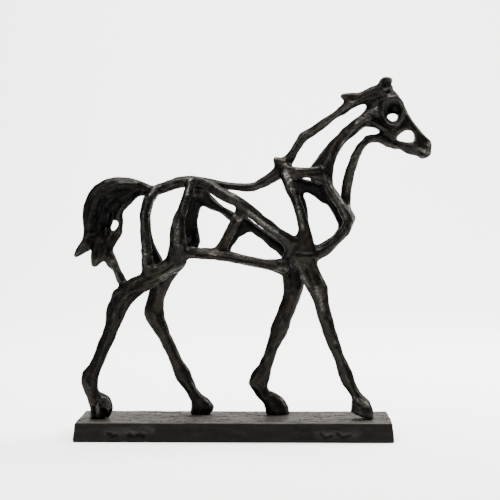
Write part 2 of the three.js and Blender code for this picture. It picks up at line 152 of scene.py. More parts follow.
HEAD = (
    Stroke("brow", ((111.0, 246.4), (117.4, 244.4)), 0.6, 3.0, Side.BOTH),
    Stroke("forelock lock", ((107.6, 247.2), (112.2, 249.6), (116.2, 246.8)), 0.9, 1.5, Side.BOTH),
    Stroke("under the forelock", ((108.6, 244.8), (113.4, 246.7)), -0.8, 1.5, Side.BOTH),
    Stroke("ear hollow", ((106.8, 250.0), (108.4, 253.4)), -1.0, 1.8, Side.BOTH),
    Stroke("ear edge", arc((107.4, 251.4), (3.6, 4.6), 30, 210), 0.7, 1.5, Side.BOTH, Tool.CREST),
    Stroke("ring of the eye", arc(EYE, (7.4, 9.6), 0, 360), 1.0, 2.0, Side.BOTH),
    Stroke("round the ring of the eye", arc(EYE, (10.4, 12.6), 150, 330), -0.8, 1.5, Side.BOTH),
    Stroke("upper cheek ridge", ((92.0, 230.6), (97.6, 233.2), (101.8, 234.0)), 0.7, 2.0, Side.BOTH),
    Stroke("lower cheek ridge", ((94.6, 226.4), (101.4, 222.3), (106.6, 216.6)), 0.7, 2.0, Side.BOTH),
    Stroke("cheek hollow", ((96.4, 230.0), (101.4, 227.6)), -0.9, 2.2, Side.BOTH),
    Stroke("under the cheek", ((104.6, 216.4), (110.0, 213.2)), -0.8, 1.8, Side.BOTH),
    Stroke("nose ridge", ((122.6, 229.6), (130.0, 218.8), (136.4, 212.4)), 0.8, 2.0, Side.BOTH),
    Stroke("beside the nose ridge", ((124.8, 219.6), (130.4, 213.6), (134.2, 209.8)), -0.6, 1.5, Side.BOTH),
    Stroke(
        "jaw strand", ((107.3, 210.3), (116.0, 207.2), (124.6, 204.6), (134.2, 199.6)),
        0.8, 1.5, Side.BOTH, Tool.CREST,
    ),
    Stroke("over the jaw strand", ((110.0, 212.4), (117.2, 209.6), (125.6, 207.4)), -0.7, 1.3, Side.BOTH),
    Stroke("mouth", ((130.5, 204.4), (134.4, 202.6), (138.0, 200.4)), -0.6, 1.3, Side.BOTH),
    Stroke("upper lip", ((131.4, 206.6), (136.6, 204.6), (139.0, 203.4)), 0.5, 1.7, Side.BOTH),
    Stroke("nostril", ((135.6, 208.0), (137.0, 207.2)), -1.0, 1.7, Side.BOTH),
    Stroke("nostril rim", arc((136.0, 207.6), (2.6, 2.4), 0, 180), 0.4, 1.3, Side.BOTH),
)

NECK = (
    Stroke("fold of the neck", ((68.4, 201.0), (68.9, 194.0), (69.6, 186.4)), 0.6, 1.9),
    Stroke("before the fold", ((71.0, 201.4), (72.0, 194.0)), -0.8, 2.0),
    Stroke(
        "neck ridge", ((70.6, 200.6), (78.6, 213.6), (88.0, 222.6), (97.0, 228.6)),
        0.8, 2.2, Side.BOTH, Tool.CREST,
    ),
    Stroke("groove of the neck", ((76.4, 207.6), (84.6, 216.4), (92.4, 222.2)), -0.7, 2.0, Side.BOTH),
    Stroke(
        "mane seam", ((50.0, 214.6), (61.0, 221.4), (72.4, 230.2), (84.6, 238.6)),
        0.6, 1.8, Side.BOTH, Tool.CREST,
    ),
    Stroke("mane hair", ((84.0, 240.0), (92.0, 243.8), (100.0, 247.6)), -0.9, 1.5, Side.BOTH),
    Stroke("mane hair below", ((88.0, 236.8), (96.0, 239.6), (103.0, 242.4)), -0.8, 1.5, Side.BOTH),
    Stroke(
        "throat ridge", ((79.6, 176.0), (83.0, 192.0), (90.4, 207.4), (100.0, 213.2)),
        0.6, 1.8, Side.BOTH, Tool.CREST,
    ),
)

FOREHAND = (
    Stroke("shoulder plane", ((40.4, 183.0), (43.6, 172.0), (46.8, 160.0), (48.8, 149.7)), 0.5, 2.0),
    Stroke("behind the shoulder plane", ((37.4, 178.0), (41.0, 168.0)), -0.5, 1.8),
    Stroke("collar ridge", ((44.0, 190.4), (53.0, 190.6), (60.0, 192.6)), 0.6, 1.8),
    Stroke("under the collar ridge", ((45.0, 187.2), (53.0, 187.6), (60.6, 188.4)), -0.5, 1.6),
    Stroke(
        "chest crest", ((63.6, 186.6), (66.8, 178.4), (73.7, 169.8), (78.5, 159.3), (78.5, 149.7)),
        1.0, 2.2, Side.RIGHT, Tool.CREST,
    ),
    Stroke("before the chest crest", ((68.4, 181.0), (76.4, 172.0), (81.2, 163.6)), -0.8, 1.8),
    Stroke("prow plane", ((84.2, 163.0), (86.0, 157.6), (83.4, 153.0)), 0.6, 2.0, Side.BOTH),
    Stroke("crease of the girth", ((44.6, 131.6), (50.6, 130.8), (55.4, 131.2)), -0.7, 1.5),
    Stroke("girth hollow", ((38.6, 128.6), (43.0, 136.4)), -0.7, 2.4),
    Stroke(
        "ridge of the girth", ((43.6, 127.4), (46.6, 119.0), (51.6, 109.0)), 0.9, 1.8,
        Side.RIGHT, Tool.CREST,
    ),
    Stroke("elbow crest", ((56.2, 126.0), (60.4, 113.4), (62.4, 101.0)), 0.8, 2.4),
    Stroke("behind the elbow crest", ((51.6, 121.0), (56.4, 107.4)), -0.8, 1.8),
    Stroke("near diagonal ridge", ((-14.0, 178.6), (4.0, 167.6), (22.0, 153.8), (38.0, 141.4)), 0.6, 2.0),
    Stroke("under the near diagonal ridge", ((6.0, 162.0), (20.0, 151.8), (32.0, 143.4)), -0.5, 1.5),
    Stroke("lower belly groove", ((-26.0, 130.9), (-4.0, 129.0), (14.0, 125.4), (30.0, 122.6)), -1.0, 1.3),
    Stroke("upper belly ridge", ((-26.0, 133.6), (-4.0, 131.6), (14.0, 127.8), (30.0, 125.4)), 0.7, 1.3),
    Stroke("lower belly ridge", ((-26.0, 128.6), (-4.0, 126.6), (14.0, 123.2), (28.0, 120.4)), 0.6, 1.2),
    Stroke("far belly groove", ((-26.0, 130.6), (-4.0, 127.8), (18.0, 123.4)), -0.8, 1.3, Side.LEFT),
)

HAUNCH = (
    Stroke("croup patch", ((-32.0, 183.6), (-25.0, 184.4), (-19.0, 182.4)), 0.5, 2.6, Side.BOTH),
    Stroke(
        "front bar ridge", ((-33.6, 172.0), (-37.4, 158.0), (-38.5, 150.0), (-38.5, 138.0)), 0.8, 2.4,
    ),
    Stroke("behind the front bar ridge", ((-39.6, 160.0), (-43.4, 148.0), (-44.0, 137.0)), -0.6, 2.0),
    Stroke("flank corner rim", arc((-27.6, 142.6), (7.0, 7.6), 180, 270), 0.9, 1.5),
    Stroke("behind bar ridge", ((-60.0, 172.0), (-63.8, 160.0), (-63.2, 144.0), (-62.0, 132.0)), 0.6, 1.8),
    Stroke("stifle pit", ((-58.0, 131.0), (-54.0, 126.0)), -1.2, 2.6),
    Stroke("stifle rim", ((-65.0, 134.0), (-61.4, 123.4), (-55.6, 120.8)), 0.9, 1.6),
    Stroke("thigh crest", ((-51.0, 112.6), (-42.0, 119.4), (-34.5, 125.0)), 1.0, 1.6),
    Stroke("thigh crest below", ((-62.4, 104.6), (-51.4, 110.2), (-44.0, 114.4)), 0.9, 1.6),
    Stroke("between the thigh crests", ((-58.6, 109.6), (-48.0, 115.4)), -0.9, 1.4),
    Stroke("over the thigh crest", ((-60.0, 114.6), (-51.0, 118.4), (-43.0, 124.0)), -0.7, 1.5),
)

LEGS = (
    Stroke("right hock crest", ((-84.6, 101.0), (-84.4, 92.0), (-87.0, 80.0)), 0.8, 2.4),
    Stroke("right hock hollow", ((-77.6, 98.0), (-80.4, 87.0)), -0.8, 2.4),
    Stroke("right gaskin ridge", ((-66.0, 108.0), (-75.0, 102.6), (-80.0, 94.0)), 0.7, 2.2),
    Stroke("right hind tendon", ((-88.0, 76.0), (-95.6, 56.0), (-100.0, 46.0)), 0.6, 1.7),
    Stroke("right fetlock", ((-105.4, 42.6), (-102.4, 37.0)), 0.7, 2.0),
    Stroke("left hock crest", ((-61.6, 95.0), (-61.4, 87.6), (-57.0, 78.6)), 0.8, 2.2, Side.BOTH),
    Stroke("left hind tendon", ((-52.0, 72.0), (-44.0, 56.0), (-39.6, 45.0)), 0.6, 1.7, Side.BOTH),
    Stroke("left knee", ((36.6, 82.0), (37.6, 78.0), (33.6, 74.4)), 0.9, 1.9, Side.BOTH),
    Stroke("left knee hollow", ((32.4, 79.4), (30.4, 75.0)), -0.7, 1.8, Side.BOTH),
    Stroke("left fore tendon", ((39.4, 98.0), (35.6, 87.0)), 0.7, 1.9, Side.BOTH),
    Stroke("left cannon", ((29.0, 68.0), (24.2, 55.0), (20.4, 45.0)), 0.6, 1.7, Side.BOTH),
    Stroke("right knee", ((64.6, 85.0), (68.6, 77.0), (71.6, 69.0)), 0.7, 1.8),
    Stroke("right cannon", ((72.6, 64.0), (77.0, 52.0), (80.8, 41.0)), 0.6, 1.6),
)

HOOFS = (
    Stroke("prong of the right hind hoof", ((-96.2, 24.4), (-95.4, 15.0)), 1.2, 2.2),
    Stroke("gap behind the prong", ((-99.3, 22.4), (-99.0, 14.6)), -1.6, 1.3),
    Stroke("hollow before the prong", ((-92.0, 20.4), (-91.0, 17.0)), -1.8, 2.0),
    Stroke("curl of the right hind hoof", arc((-92.6, 22.6), (4.0, 6.6), -45, 120), 0.9, 1.6, Side.BOTH),
    Stroke("inside the curled rim", ((-94.4, 25.4), (-92.6, 21.6)), -0.8, 1.6, Side.BOTH),
    Stroke(
        "crown of the left hind hoof", ((-31.4, 26.6), (-26.6, 26.2), (-20.6, 22.6)), 0.7, 1.6, Side.BOTH,
    ),
    Stroke("toe lump of the left hind hoof", ((-20.4, 18.4), (-17.0, 17.0)), 0.8, 2.0, Side.BOTH),
    Stroke("under the crown of the left hind hoof", ((-28.6, 23.0), (-22.6, 19.8)), -0.8, 1.5, Side.BOTH),
    Stroke("sole lumps of the left hind hoof", ((-27.0, 16.6), (-22.6, 16.2)), 0.7, 1.4, Side.BOTH),
    Stroke(
        "crown of the left fore hoof", ((20.6, 27.6), (26.0, 26.4), (32.6, 22.0)), 0.7, 1.6, Side.BOTH,
    ),
    Stroke("under the crown of the left fore hoof", ((23.4, 23.6), (30.6, 19.8)), -0.8, 1.5, Side.BOTH),
    Stroke("sole lump of the left fore hoof", ((27.0, 17.4), (31.6, 16.6)), 0.8, 1.5, Side.BOTH),
    Stroke(
        "crown of the right fore hoof", ((83.8, 29.6), (88.6, 28.4), (94.4, 24.4)), 0.7, 1.6, Side.BOTH,
    ),
    Stroke("under the crown of the right fore hoof", ((86.0, 25.4), (93.6, 21.4)), -0.8, 1.5, Side.BOTH),
)

TAIL = (
    Stroke(
        "groove over the inner lock",
        ((-66.0, 174.4), (-74.0, 171.8), (-80.7, 168.0), (-86.4, 160.0), (-88.8, 151.0)),
        -1.8, 2.8, Side.BOTH,
    ),
    Stroke(
        "outer lock ridge",
        ((-70.0, 180.6), (-82.0, 181.0), (-93.6, 176.6), (-101.0, 168.0), (-104.0, 156.0), (-104.6, 146.0)),
        0.8, 2.0, Side.BOTH,
    ),
    Stroke(
        "outer lock groove",
        ((-74.0, 177.6), (-84.0, 177.0), (-93.0, 172.0), (-98.4, 163.0), (-99.8, 151.0)),
        -0.8, 1.8, Side.BOTH,
    ),
    Stroke(
        "middle lock ridge", ((-86.0, 173.6), (-93.0, 164.0), (-95.4, 153.6), (-96.6, 143.0)),
        0.8, 2.0, Side.BOTH,
    ),
    Stroke("middle lock groove", ((-90.6, 157.0), (-92.4, 148.0), (-93.0, 138.0)), -0.8, 1.6, Side.BOTH),
    Stroke("pit of the tail", ((-103.9, 141.4), (-103.0, 138.8)), -1.5, 2.2, Side.BOTH),
    Stroke("rim over the pit", ((-107.2, 142.4), (-104.6, 145.6), (-99.8, 145.4)), 0.9, 1.5, Side.BOTH),
    Stroke("tip of the outer lock", ((-106.0, 137.4), (-113.0, 131.0)), 0.5, 1.5, Side.BOTH),
    Stroke("tip of the middle lock", ((-96.0, 136.0), (-98.6, 126.6)), 0.8, 1.6, Side.BOTH),
    Stroke(
        "inner lock ridge", ((-84.6, 149.6), (-89.6, 140.4), (-92.0, 131.0), (-86.0, 122.0), (-80.4, 112.4)),
        0.8, 1.6, Side.BOTH,
    ),
)

# Painted highlights: places on the casting painted lighter where light catches it, with the share of the
# lighter colour as the height

PAINTED_HIGHLIGHTS = (
    Stroke("top of the shoulder", ((36.5, 188.0), (39.5, 183.0), (41.5, 177.5)), 0.9, 4.4),
    Stroke("prow", ((82.6, 164.2), (86.0, 158.6), (84.6, 151.0)), 0.9, 3.0, Side.BOTH),
    Stroke("chest bar", ((65.0, 186.0), (70.6, 176.0), (76.0, 167.6)), 0.9, 2.0),
    Stroke("nose", ((122.0, 237.4), (126.0, 229.0), (130.6, 221.6)), 0.9, 1.8, Side.BOTH),
    Stroke("muzzle", ((131.4, 205.0), (136.4, 203.6), (138.6, 208.4)), 0.5, 2.6, Side.BOTH),
    Stroke("neck", ((86.6, 224.0), (93.6, 230.2), (101.0, 233.6)), 0.6, 2.2, Side.BOTH),
    Stroke("near diagonal", ((10.6, 161.0), (20.0, 153.6), (31.0, 146.6)), 0.9, 2.0),
    Stroke("top of the brace", ((0.6, 158.4), (4.6, 154.4)), 0.9, 2.0),
    Stroke("foot of the brace", ((-16.6, 131.6), (-13.0, 131.0)), 0.9, 1.8),
    Stroke("shoulder bar", ((45.4, 165.0), (47.6, 157.0), (48.6, 150.4)), 0.8, 1.8),
    Stroke("thigh", ((-40.6, 152.4), (-40.2, 146.0), (-40.6, 140.0)), 0.6, 3.2),
    Stroke("thigh crest", ((-53.0, 113.4), (-44.0, 119.0), (-36.0, 124.4)), 0.8, 1.6),
    Stroke("behind bar", ((-64.0, 139.0), (-62.8, 132.0), (-62.0, 127.0)), 0.7, 1.6),
    Stroke("croup", ((-33.0, 184.0), (-30.6, 179.0)), 0.7, 3.4),
    Stroke("front of the elbow", ((45.0, 124.6), (48.6, 116.6), (52.6, 108.0)), 0.5, 1.3),
    Stroke("right fore leg", ((58.0, 107.6), (60.6, 99.6), (62.8, 91.6)), 0.6, 2.2),
    Stroke("crown of the fore hoof", ((84.6, 29.6), (93.6, 24.6)), 0.5, 2.2, Side.BOTH),
    Stroke("crown of the hind hoof", ((-30.4, 26.6), (-19.6, 21.6)), 0.5, 2.2, Side.BOTH),
    Stroke("edge of the left hind hoof", ((-28.0, 16.4), (-22.0, 16.8), (-17.0, 18.0)), 0.7, 1.6, Side.BOTH),
    Stroke("edge of the left fore hoof", ((24.6, 16.2), (30.0, 16.0), (36.0, 16.4)), 0.6, 1.6, Side.BOTH),
    Stroke("knob of the left hock", ((-61.0, 93.0), (-60.4, 86.6)), 0.5, 2.2, Side.BOTH),
    Stroke("back of the left fetlock", ((15.6, 43.0), (12.6, 38.0)), 0.5, 2.2, Side.BOTH),
)

# Places painted darker, with the share of the dark colour as the height: painted shade in the eye socket and
# under the inner lock, and a darker tone over the tail and the right hind leg

DARKENED = (
    Stroke("eye socket", ((112.0, 234.4), (112.2, 228.8)), 1.8, 4.6, Side.BOTH),
    Stroke("under the inner lock", ((-70.0, 172.4), (-80.7, 168.0), (-87.4, 158.0)), 1.0, 2.8, Side.BOTH),
    Stroke("tail", ((-76.0, 176.0), (-92.0, 172.0), (-99.0, 156.0), (-97.0, 138.0)), 0.8, 15.0, Side.BOTH),
    Stroke("right hind leg", ((-66.0, 108.0), (-80.0, 98.0), (-90.0, 72.0), (-100.0, 44.0)), 0.5, 9.0),
)

# Scars and scratches on the plinth's front

PLINTH_FRONT = (
    Stroke("left scar", ((-87.4, 6.2), (-84.0, 4.6), (-81.2, 5.0)), -0.9, 1.7),
    Stroke("lip of the left scar", ((-88.4, 8.2), (-84.0, 7.0), (-80.4, 7.2)), 0.5, 1.2),
    Stroke("middle scar", ((-73.4, 5.8), (-69.4, 4.0), (-65.6, 5.4), (-62.0, 4.6)), -0.9, 1.7),
    Stroke("lip of the middle scar", ((-72.4, 8.2), (-66.4, 7.6), (-61.4, 7.4)), 0.5, 1.2),
    Stroke("rising scratch", ((-66.4, 9.6), (-62.0, 12.4)), 0.5, 1.1),
    Stroke("falling scratch", ((-60.2, 12.0), (-55.6, 9.4)), 0.5, 1.1),
    Stroke("right scar", ((61.2, 6.4), (64.6, 3.6), (69.0, 5.0)), -0.7, 1.6),
    Stroke("far right scar", ((72.6, 6.6), (77.0, 4.0), (82.0, 5.4)), -0.7, 1.6),
    Stroke("ridge between the scars", ((66.8, 7.6), (70.4, 8.8), (74.4, 8.0)), 0.5, 1.2),
)

PLINTH_RUBBED = (
    Stroke("round the left scars", ((-88.0, 7.0), (-72.0, 8.0), (-57.0, 9.6)), 0.22, 5.0),
    Stroke("round the right scars", ((60.0, 6.0), (72.0, 6.0), (86.0, 6.4)), 0.16, 5.0),
)


# Material helpers


def srgb(hex_colour: str) -> tuple[float, float, float, float]:
    """Turns an sRGB hex colour to linear RGBA.

    Args:
        hex_colour: Six hex digits with a leading #.

    Returns:
        Red, green, blue and an alpha of 1, in linear light.
    """
    parts = [int(hex_colour[i:i + 2], 16) / 255 for i in (1, 3, 5)]
    linear = [c / 12.92 if c <= 0.04045 else ((c + 0.055) / 1.055) ** 2.4 for c in parts]
    return (*linear, 1.0)


def add_node(
    tree: bpy.types.NodeTree, kind: str, settings: dict | None = None, sockets: dict | None = None
) -> bpy.types.Node:
    """Adds a node with its settings, values and links.

    Args:
        tree: The node tree it goes into.
        kind: Blender's name for the node's type.
        settings: Attribute names and values of the node itself.
        sockets: Input names or numbers, each with a value or with the output that feeds it.

    Returns:
        The new node.
    """
    made = tree.nodes.new(kind)
    for name, value in (settings or {}).items():
        setattr(made, name, value)
    for name, value in (sockets or {}).items():
        if isinstance(value, bpy.types.NodeSocket):
            tree.links.new(value, made.inputs[name])
        else:
            made.inputs[name].default_value = value
    return made


@dataclass(frozen=True)
class CastIron:
    """Cast iron with a blackened, waxed skin.

    The oxide and wax give a near-black satin, browner where the black is thin. It is painted greyer on worn
    crests and as painted highlights, and blacker as painted shade in the hollows, where wax and soot also
    stay.

    Attributes:
        name: The material's name.
        black: The colour of the full black.
        brown: The colour where the black is thin.
        wear_and_sheen: The lighter colour, of wear, dust and painted light.
        shade_and_soot: The colour of painted shade and of soot in the hollows.
        smooth: The roughness of the smoothest grains.
        rough: The roughness of the roughest grains.
        metallic: How far the black lets the metal through.
        edge: The tint of the shine at grazing angles, which the rough black dulls.
        grain: The size of the sand's print, in millimetres.
        grain_depth: The depth of that print, in millimetres.
        patch: The size of the uneven browning, in millimetres.
        streak: The length and breadth of the streaks that break up the wear and painted highlights, in
            millimetres.
        least_streak: The share of the wear and painted highlights that shows between the streaks.
        brown_share: How far the brown shows at most.
    """

    name: str
    black: str
    brown: str
    wear_and_sheen: str
    shade_and_soot: str
    smooth: float
    rough: float
    metallic: float
    edge: str
    grain: float
    grain_depth: float
    patch: float
    streak: tuple[float, float]
    least_streak: float
    brown_share: float

    def material(self) -> bpy.types.Material:
        """Builds the material from object coordinates and from the skin's own attributes.

        Returns:
            The finished material.
        """
        made = bpy.data.materials.new(self.name)
        made.use_nodes = True
        tree = made.node_tree
        tree.nodes.clear()
        grain = add_node(
            tree, "ShaderNodeTexNoise", None,
            {"Vector": self.place(tree), "Scale": 1 / (self.grain * MM), "Detail": 3.0, "Roughness": 0.65},
        ).outputs["Fac"]
        dullness = add_node(
            tree, "ShaderNodeMapRange", None,
            {"Value": grain, "From Min": 0.36, "From Max": 0.64,
             "To Min": self.rough, "To Max": self.smooth},
        ).outputs["Result"]
        print_of_sand = add_node(
            tree, "ShaderNodeBump", None,
            {"Height": grain, "Distance": self.grain_depth * MM, "Strength": 1.0},
        ).outputs["Normal"]
        shader = add_node(
            tree, "ShaderNodeBsdfPrincipled", None,
            {"Base Color": self.colour(tree), "Metallic": self.metallic, "Roughness": dullness,
             "Specular Tint": srgb(self.edge), "Normal": print_of_sand},
        ).outputs["BSDF"]
        add_node(tree, "ShaderNodeOutputMaterial", None, {"Surface": shader})
        return made

    def place(self, tree: bpy.types.NodeTree) -> bpy.types.NodeSocket:
        """Adds the object's own coordinates to a node tree and returns their output."""
        return add_node(tree, "ShaderNodeTexCoord").outputs["Object"]

    def colour(self, tree: bpy.types.NodeTree) -> bpy.types.NodeSocket:
        """Mixes the browning, the wear and painted light, and the painted shade and soot.

        Args:
            tree: The material's node tree.

        Returns:
            The output that holds the colour.
        """
        patches = add_node(
            tree, "ShaderNodeTexNoise", None,
            {"Vector": self.place(tree), "Scale": 1 / (self.patch * MM), "Detail": 4.0, "Roughness": 0.6},
        ).outputs["Fac"]
        browning = add_node(
            tree, "ShaderNodeMapRange", None,
            {"Value": patches, "From Min": 0.42, "From Max": 0.72, "To Max": self.brown_share},
        ).outputs["Result"]
        length, breadth = (1 / (size * MM) for size in self.streak)
        drawn = add_node(
            tree, "ShaderNodeMapping", None,
            {"Vector": self.place(tree), "Scale": (length, breadth, breadth)},
        ).outputs["Vector"]
        streaks = add_node(
            tree, "ShaderNodeTexNoise", None,
            {"Vector": drawn, "Scale": 1.0, "Detail": 5.0, "Roughness": 0.62},
        ).outputs["Fac"]
        streaking = add_node(
            tree, "ShaderNodeMapRange", None,
            {"Value": streaks, "From Min": 0.4, "From Max": 0.62,
             "To Min": self.least_streak},
        ).outputs["Result"]
        # Lighter paint for worn crests and painted highlights, broken by the streaks; darker paint for
        # painted shade and soot in the hollows.
        lightening_share = add_node(
            tree, "ShaderNodeAttribute", {"attribute_name": "wear_and_sheen"},
        ).outputs["Fac"]
        streaked_lightening = add_node(
            tree, "ShaderNodeMath", {"operation": "MULTIPLY"}, {0: lightening_share, 1: streaking},
        ).outputs["Value"]
        shade_and_soot_share = add_node(
            tree, "ShaderNodeAttribute", {"attribute_name": "hollow"},
        ).outputs["Fac"]
        colour = srgb(self.black)
        for share, layer in ((browning, self.brown), (streaked_lightening, self.wear_and_sheen), (shade_and_soot_share, self.shade_and_soot)):
            colour = add_node(
                tree, "ShaderNodeMix", {"data_type": "RGBA"},
                {"Factor": share, "A": colour, "B": srgb(layer)},
            ).outputs["Result"]
        return colour


# Blackened cast iron, waxed: near-black and satin, so that crests catch the light as soft lines. Its lighter
# colour paints wear and painted highlights, its darkest painted shade and soot.
HORSE_IRON = CastIron(
    name="blackened cast iron", black="#181715", brown="#1f1a14", wear_and_sheen="#5c5a56", shade_and_soot="#080808",
    smooth=0.22, rough=0.48, metallic=0.85, edge="#8a8a8a", grain=1.5, grain_depth=0.2,
    patch=14.0, streak=(1.6, 1.6), least_streak=0.15, brown_share=0.7,
)

# The same iron, its flat top brushed lengthwise and dusty: the wax is thin, so grey-brown shows. Its lighter
# colour also paints the light that falls on the top, and its darkest painted shade in the hollows.
PLINTH_IRON = CastIron(
    name="brushed blackened cast iron", black="#171615", brown="#1d1915", wear_and_sheen="#524e49",
    shade_and_soot="#0a0a0a", smooth=0.36, rough=0.62, metallic=0.8, edge="#8a8a8a", grain=1.5,
    grain_depth=0.25, patch=22.0, streak=(18.0, 5.0), least_streak=0.5, brown_share=0.7,
)


# Skins


class Skin:
    """A closed mesh held as arrays, so that its whole surface is worked at once.

    Attributes:
        points: One row of X, Y, Z for each vertex, in millimetres.
    """

    def __init__(self, mesh: bpy.types.Mesh) -> None:
        """Reads a mesh, whose vertices are in metres.

        Args:
            mesh: The mesh that the skin works on.
        """
        self.mesh = mesh
        flat = np.empty(len(self.mesh.vertices) * 3, dtype=np.float32)
        self.mesh.vertices.foreach_get("co", flat)
        self.points = flat.reshape(-1, 3) / np.float32(MM)
        ends = np.empty(len(self.mesh.edges) * 2, dtype=np.int32)
        self.mesh.edges.foreach_get("vertices", ends)
        one, other = ends.reshape(-1, 2).T
        near = np.concatenate([one, other])
        order = np.argsort(near, kind="stable")
        self.near = near[order]
        self.far = np.concatenate([other, one])[order]
        count = np.bincount(near)
        self.first = np.cumsum(count) - count
        self.count = count.astype(np.float32)

    def store(self) -> None:
        """Writes the points back to the mesh."""
        place = self.mesh.attributes["position"].data
        place.foreach_set("vector", (self.points * np.float32(MM)).ravel())
        self.mesh.update()

    def normals(self) -> np.ndarray:
        """Returns each vertex's outward direction at its present place."""
        self.store()
        flat = np.empty(len(self.points) * 3, dtype=np.float32)
        self.mesh.vertex_normals.foreach_get("vector", flat)
        return flat.reshape(-1, 3)

    def average(self, values: np.ndarray, weights: np.ndarray | None = None) -> np.ndarray:
        """Averages values over each vertex's neighbours.

        Args:
            values: One row for each vertex.
            weights: One weight for each entry of near and far, or None for equal weights.

        Returns:
            The averages, in the shape of values.
        """
        drawn = values[self.far]
        total = self.count
        if weights is not None:
            drawn = (drawn.T * weights).T
            total = np.add.reduceat(weights, self.first)
        return (np.add.reduceat(drawn, self.first, axis=0).T / total).T

    def relax(self, rounds: int, ease: float = 0.5, restore: float = 0.52) -> None:
        """Evens the skin without thinning it, by easing and restoring in turn.

        Args:
            rounds: How often both steps are made.
            ease: The share of the way to the neighbours' average.
            restore: The share of the way back.
        """
        for _ in range(rounds):
            self.points += ease * (self.average(self.points) - self.points)
            self.points -= restore * (self.average(self.points) - self.points)

    def fill_corners(self, rounds: int, pace: float, renew: int = 5) -> None:
        """Fills hollow corners, as a modeller fills them in wax, and leaves crests alone.

        Args:
            rounds: How often the hollows are raised; more rounds give a wider fillet.
            pace: The share of the way to the neighbours' average in a round.
            renew: How many rounds go by before the outward directions are found again.
        """
        for turn in range(rounds):
            if turn % renew == 0:
                outward = self.normals()
            step = self.average(self.points) - self.points
            lift = np.maximum(np.einsum("ij,ij->i", step, outward), 0.0)
            self.points += pace * lift[:, None] * outward

    def faces(self) -> tuple[np.ndarray, np.ndarray, np.ndarray]:
        """Reads the squares of the skin and the pairs of squares that share an edge.

        Returns:
            The four corners of each square, and the first and second square of each pair.
        """
        loops = len(self.mesh.loops)
        corners = np.empty(loops, dtype=np.int64)
        self.mesh.loops.foreach_get("vertex_index", corners)
        edges = np.empty(loops, dtype=np.int64)
        self.mesh.loops.foreach_get("edge_index", edges)
        order = np.argsort(edges, kind="stable")
        shared = np.bincount(edges)[edges[order]] == 2
        pairs = (order[shared] // 4).reshape(-1, 2)
        return corners.reshape(-1, 4), pairs[:, 0], pairs[:, 1]

    def plane(self, rounds: int, likeness: float, evened: int = 4) -> None:
        """Draws the skin into planes with crisp edges between them, as a modelling knife does.

        Args:
            rounds: How often the planes are evened and the points are moved onto them.
            likeness: How far two neighbouring directions may differ and still make one plane.
            evened: How often the directions are evened before the points are moved.
        """
        corners, one, other = self.faces()
        here = np.concatenate([one, other])
        there = np.concatenate([other, one])
        for _ in range(rounds):
            square = self.points[corners]
            facing = np.cross(square[:, 2] - square[:, 0], square[:, 3] - square[:, 1])
            facing /= np.maximum(np.linalg.norm(facing, axis=1), SHORTEST)[:, None]
            for _ in range(evened):
                apart = np.linalg.norm(facing[one] - facing[other], axis=1)
                pull = np.tile(np.exp(-((apart / likeness) ** 2)), 2)
                facing = facing + np.stack([
                    np.bincount(here, weights=pull * column[there], minlength=len(facing))
                    for column in facing.T
                ], axis=1)
                facing /= np.linalg.norm(facing, axis=1)[:, None]
            off = ((square.mean(axis=1)[:, None, :] - square) * facing[:, None, :]).sum(axis=2)
            step = (off[:, :, None] * facing[:, None, :]).reshape(-1, 3)
            used = corners.ravel()
            count = np.bincount(used, minlength=len(self.points))
            self.points += np.stack([
                np.bincount(used, weights=column, minlength=len(count)) for column in step.T
            ], axis=1) / np.maximum(count, 1)[:, None]

    def bulge(self, spread: int) -> np.ndarray:
        """Measures how far each vertex stands proud of its surroundings.

        Args:
            spread: How many rings of neighbours the surroundings reach.

        Returns:
            Millimetres, positive on crests and negative in hollows.
        """
        around = self.points
        for _ in range(spread):
            around = self.average(around)
        return ((self.points - around) * self.normals()).sum(axis=1)

    def along(self, spread: int) -> np.ndarray:
        """Finds the direction in which the bar round each vertex runs.

        Args:
            spread: How many rings of neighbours are looked at.

        Returns:
            One unit vector for each vertex.
        """
        outward = self.normals()
        turning = outward[:, :, None] * outward[:, None, :]
        for _ in range(spread):
            turning = self.average(turning)
        return np.linalg.eigh(turning)[1][:, :, 0]

    def streaks(self, direction: np.ndarray, start: int, run: int, seed: int) -> np.ndarray:
        """Draws random marks out along the bars.

        Args:
            direction: The direction of the bar at each vertex.
            start: How many times the marks are widened before they are drawn out.
            run: How many times they are drawn out.
            seed: The seed of the random marks.

        Returns:
            One value for each vertex, with a mean of 0 and a deviation of 1.
        """
        marks = np.random.default_rng(seed).standard_normal(len(self.points), dtype=np.float32)
        for _ in range(start):
            marks = self.average(marks)
        edge = self.points[self.far] - self.points[self.near]
        edge /= np.maximum(np.linalg.norm(edge, axis=1), SHORTEST)[:, None]
        sharpness, least_pull = 4, 0.002
        pull = (edge * direction[self.near]).sum(axis=1) ** sharpness + least_pull
        for _ in range(run):
            marks = self.average(marks, pull)
        return (marks - marks.mean()) / marks.std()

